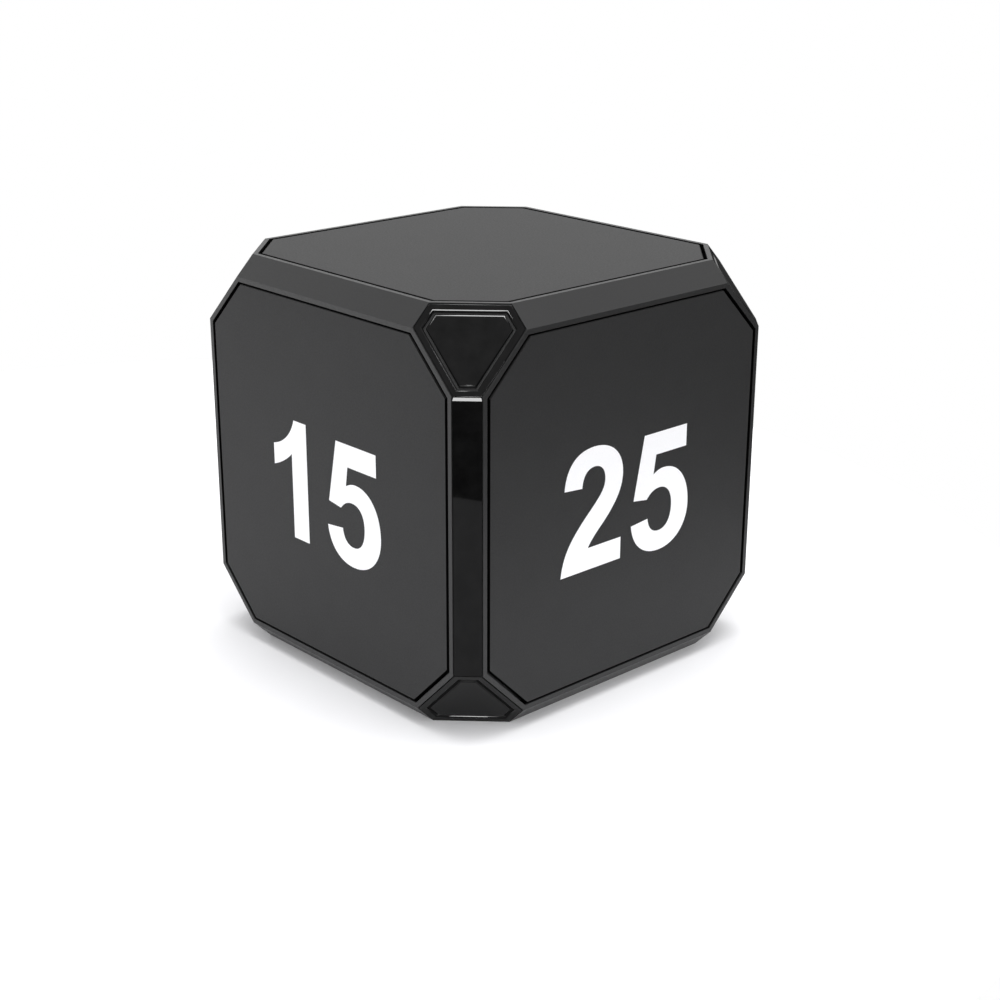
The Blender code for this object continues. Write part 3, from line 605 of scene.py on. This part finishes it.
# Each outline starts at a point, and goes on with points and with curves of two handles and an end.
# x runs from a digit's left side and y from its foot.
DIGITS = {
    "1": [
        [
            (7.85, 0),
            (7.85, 18.0),
            (5.0, 18.0),
            ((4.2, 15.6), (2.4, 14.1), (0, 13.5)),
            (0, 10.3),
            ((1.7, 10.9), (3.1, 11.7), (4.3, 12.8)),
            (4.3, 0),
        ]
    ],
    "2": [
        [
            (0, 0),
            (11.75, 0),
            (11.75, 3.25),
            (5.2, 3.25),
            ((5.8, 4.2), (6.6, 5.0), (8.0, 6.2)),
            ((10.4, 8.4), (11.9, 10.4), (11.9, 12.9)),
            ((11.9, 15.9), (9.6, 17.9), (6.2, 17.9)),
            ((2.8, 17.9), (0.8, 16.1), (0.5, 12.6)),
            (3.9, 12.3),
            ((4.0, 14.1), (4.9, 15.0), (6.25, 15.0)),
            ((7.6, 15.0), (8.4, 14.1), (8.4, 12.75)),
            ((8.4, 11.4), (7.6, 10.5), (5.3, 8.45)),
            ((2.0, 5.5), (0.4, 3.5), (0, 0)),
        ]
    ],
    "4": [
        [
            (6.9, 0),
            (6.9, 3.5),
            (-0.1, 3.5),
            (-0.1, 6.5),
            (7.2, 17.5),
            (10.2, 17.5),
            (10.2, 6.5),
            (12.2, 6.5),
            (12.2, 3.5),
            (10.2, 3.5),
            (10.2, 0),
        ],
        [(6.9, 6.5), (6.9, 12.4), (2.95, 6.5)],
    ],
    "5": [
        [
            (2.3, 17.3),
            (11.1, 17.3),
            (11.1, 14.0),
            (4.8, 14.0),
            (4.35, 11.1),
            ((5.0, 11.5), (5.7, 11.75), (6.5, 11.75)),
            ((9.7, 11.75), (11.9, 9.0), (11.9, 5.2)),
            ((11.9, 1.7), (9.3, -0.7), (5.8, -0.7)),
            ((2.6, -0.7), (0.4, 1.2), (0, 4.3)),
            (3.4, 4.65),
            ((3.6, 3.1), (4.5, 2.3), (5.8, 2.3)),
            ((7.4, 2.3), (8.35, 3.6), (8.35, 5.7)),
            ((8.35, 7.7), (7.3, 8.9), (5.7, 8.9)),
            ((4.6, 8.9), (3.8, 8.45), (3.1, 7.6)),
            (0.4, 8.0),
        ]
    ],
}
# The quarter turns to each panel, and its digits with their left side and foot from the face's centre
NUMERALS = {
    "panel_15": (0, [("1", -12.1, -9.6), ("5", 0.35, -9.5)]),
    "panel_25": (1, [("2", -12.8, -9.4), ("5", 1.05, -9.5)]),
    "panel_45": (2, [("4", -12.9, -9.5), ("5", 1.0, -9.5)]),
    "panel_5": (3, [("5", -6.0, -9.5)]),
}


def traced(outline, x, y):
    """The points of an outline that starts at a left side and a foot."""
    points = []
    for item in outline:
        if isinstance(item[0], tuple):
            start = Vector(points[-1])
            one, two, end = (Vector((x + px, y + py)) for px, py in item)
            for step in range(1, DIGIT_STEPS + 1):
                t = step / DIGIT_STEPS
                s = 1 - t
                place = start * s**3 + one * (3 * s * s * t) + two * (3 * s * t * t) + end * t**3
                points.append(tuple(place))
        else:
            points.append((x + item[0], y + item[1]))
    if (Vector(points[0]) - Vector(points[-1])).length < 1e-6:
        points.pop()
    return points


def ink_mesh(name, digits, turn):
    """The filled outlines of some digits, as a film of ink that stands on the face turned towards -Y."""
    curve = bpy.data.curves.new(name, "CURVE")
    curve.dimensions = "2D"
    curve.fill_mode = "BOTH"
    curve.extrude = INK
    for digit, x, y in digits:
        for outline in DIGITS[digit]:
            points = traced(outline, x, y)
            spline = curve.splines.new("POLY")
            spline.points.add(len(points) - 1)
            for point, place in zip(spline.points, points):
                point.co = (*place, 0.0, 1.0)
            spline.use_cyclic_u = True
    holder = bpy.data.objects.new(name, curve)
    bpy.context.scene.collection.objects.link(holder)
    graph = bpy.context.evaluated_depsgraph_get()
    shape = bmesh.new()
    shape.from_mesh(holder.evaluated_get(graph).to_mesh())
    bpy.data.objects.remove(holder)
    bmesh.ops.remove_doubles(shape, verts=shape.verts, dist=1e-4)
    bmesh.ops.recalc_face_normals(shape, faces=shape.faces)
    shape.transform(Matrix.Translation((0, 0, HALF - PANEL_SINK)))
    mesh = solid(shape, name, (QUARTER, 0, turn * QUARTER))
    shape.free()
    return mesh


def add_numerals():
    """The minutes on the four upright panels, as films of white ink."""
    for panel, (turn, digits) in NUMERALS.items():
        name = panel.replace("panel", "numeral")
        shown(name, ink_mesh(name, digits, turn), "case", INK_PAINT, "ink_white")


# ---------------------------------------------------------------- every other solid


# How far a solid's edges are softened
SOFT_WIDTHS = {"housing": 0.1, "battery_cover": 0.14, "display_panel": 0.08, "display_window": 0.1}
SOFT_WIDTH = 0.06  # on every other solid
WIRES = ("battery_spring", "battery_lead")  # whose sections are round already
REMADE = ("corner_cap", "edge_strip")


def add_refined_solids():
    """Each CAD solid that isn't remade above, with a slight round on its edges and the finish of its slot."""
    slots = {part["node"]: part["material_slot"] for part in frame["record"]["subparts"]}
    bodies = frame["record"]["behaviour"]["bodies"]
    for body, nodes in bodies.items():
        for node in nodes:
            if node.startswith(REMADE):
                continue
            paint = CELL_PAINTS.get(node) or PAINTS[slots[node]]
            width = 0.0 if node.startswith(WIRES) else SOFT_WIDTHS.get(node, SOFT_WIDTH)
            refined(node, body, paint, slots[node], width)


# ---------------------------------------------------------------- studio


# Angles in degrees, and lengths in metres from the cube's centre
CAMERA_AZIMUTH = 47.35
CAMERA_ELEVATION = 20.16
CAMERA_ROLL = 0.21
CAMERA_DISTANCE = 0.26814
CAMERA_ASIDE = 0.00252
CAMERA_UP = -0.00852
CAMERA_LENS = 63.57  # focal length in millimetres

FLOOR_RADIUS = 0.149
FLOOR_CENTRE = (-0.0414, -0.0382)

# The studio's grey level at each height of a direction, from straight down at 0 to straight up at 1
SKY = [
    (0.0, 0.04),
    (0.49, 0.04),
    (0.54, 0.9),
    (0.69, 1.34),
    (0.8, 0.68),
    (0.86, 0.7),
    (0.9, 1.0),
    (1.0, 1.2),
]


def direction(azimuth, elevation):
    """A unit vector from the object: azimuth 0 is -Y, and 90 is +X."""
    a, e = math.radians(azimuth), math.radians(elevation)
    return Vector((math.sin(a) * math.cos(e), -math.cos(a) * math.cos(e), math.sin(e)))


def add_camera():
    """The camera, where the photograph of the cube was taken from."""
    data = bpy.data.cameras.new("camera")
    data.lens = CAMERA_LENS
    data.clip_start = 0.01
    data.clip_end = 50.0
    camera = bpy.data.objects.new("camera", data)
    bpy.context.scene.collection.objects.link(camera)
    back = direction(CAMERA_AZIMUTH, CAMERA_ELEVATION)
    azimuth = math.radians(CAMERA_AZIMUTH)
    right = Vector((math.cos(azimuth), math.sin(azimuth), 0))
    up = back.cross(right)
    cosine, sine = math.cos(math.radians(CAMERA_ROLL)), math.sin(math.radians(CAMERA_ROLL))
    right, up = right * cosine + up * sine, up * cosine - right * sine
    matrix = Matrix((right, up, back)).transposed().to_4x4()
    matrix.translation = CENTRE + back * CAMERA_DISTANCE + right * CAMERA_ASIDE + up * CAMERA_UP
    camera.matrix_world = matrix
    bpy.context.scene.camera = camera


def add_floor():
    """A pale round floor that glows a little, so that it fades into the white behind it."""
    nodes = Nodes("pale_floor")
    clouds = nodes.noise(30.0, 3.0)
    nodes.colour(nodes.ramp(clouds, [(0.3, grey(0.9)), (0.7, grey(0.93))]))
    nodes.rough(nodes.range(clouds, 0.8, 0.9))
    nodes.set(Specular_IOR_Level=0.1, Emission_Color=(1, 1, 1, 1), Emission_Strength=0.06)
    shape = bmesh.new()
    bmesh.ops.create_circle(shape, cap_ends=True, segments=256, radius=FLOOR_RADIUS)
    mesh = bpy.data.meshes.new("floor")
    shape.to_mesh(mesh)
    shape.free()
    mesh.materials.append(nodes.material)
    floor = bpy.data.objects.new("floor", mesh)
    floor.location = (*FLOOR_CENTRE, 0)
    bpy.context.scene.collection.objects.link(floor)


def softbox(name, azimuth, elevation, distance, size, radiance, only=None):
    """A rectangular area light that faces the cube, and that may light only one collection.

    Its distance and its size are in metres.
    """
    data = bpy.data.lights.new(name, "AREA")
    data.shape = "RECTANGLE"
    data.size, data.size_y = size
    data.energy = radiance * 4 * size[0] * size[1]
    lamp = bpy.data.objects.new(name, data)
    away = direction(azimuth, elevation)
    lamp.location = CENTRE + away * distance
    lamp.rotation_mode = "QUATERNION"
    lamp.rotation_quaternion = away.to_track_quat("Z", "Y")
    lamp.visible_camera = False
    if only:
        lamp.light_linking.receiver_collection = only
    bpy.context.scene.collection.objects.link(lamp)


def add_world():
    """White to the camera. Other rays meet a studio that is dim below the horizon and bright overhead."""
    world = bpy.data.worlds.new("studio")
    world.use_nodes = True
    bpy.context.scene.world = world
    tree = world.node_tree
    tree.nodes.clear()
    add, link = tree.nodes.new, tree.links.new
    place = add("ShaderNodeTexCoord")
    parts = add("ShaderNodeSeparateXYZ")
    height = add("ShaderNodeMapRange")
    height.inputs["From Min"].default_value = -1.0
    ramp = add("ShaderNodeValToRGB")
    set_stops(ramp.color_ramp, [(position, (level, level, level)) for position, level in SKY])
    studio, backdrop = add("ShaderNodeBackground"), add("ShaderNodeBackground")
    backdrop.inputs["Color"].default_value = (1, 1, 1, 1)
    rays, mix, out = add("ShaderNodeLightPath"), add("ShaderNodeMixShader"), add("ShaderNodeOutputWorld")
    link(place.outputs["Generated"], parts.inputs[0])
    link(parts.outputs["Z"], height.inputs["Value"])
    link(height.outputs["Result"], ramp.inputs["Fac"])
    link(ramp.outputs["Color"], studio.inputs["Color"])
    link(rays.outputs["Is Camera Ray"], mix.inputs["Fac"])
    link(studio.outputs["Background"], mix.inputs[1])
    link(backdrop.outputs["Background"], mix.inputs[2])
    link(mix.outputs["Shader"], out.inputs["Surface"])


def add_studio():
    """The camera, the floor, the world and the lamps. Two tall lamps light only the glossy pieces."""
    add_camera()
    add_floor()
    add_world()
    gloss = bpy.data.collections.new("gloss_pieces")
    for piece in list(bpy.data.objects):
        if piece.get("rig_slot") == "gloss_black":
            gloss.objects.link(piece)
    softbox("overhead", 100, 85, 0.6, (0.5, 0.5), 2.5)
    softbox("front_strip", 42.65, 18, 0.6, (0.2, 0.5), 52.0, gloss)
    softbox("top_strip", 42.65, 85, 0.6, (0.15, 0.54), 45.0, gloss)
    softbox("left_fill", -50, -3, 0.9, (0.5, 0.4), 1.7)
    softbox("right_fill", 133, 14, 0.9, (0.5, 0.4), 1.8)
    bpy.context.scene.view_settings.view_transform = "Standard"


add_corner_caps()
add_edge_strips()
add_refined_solids()
add_numerals()
add_studio()
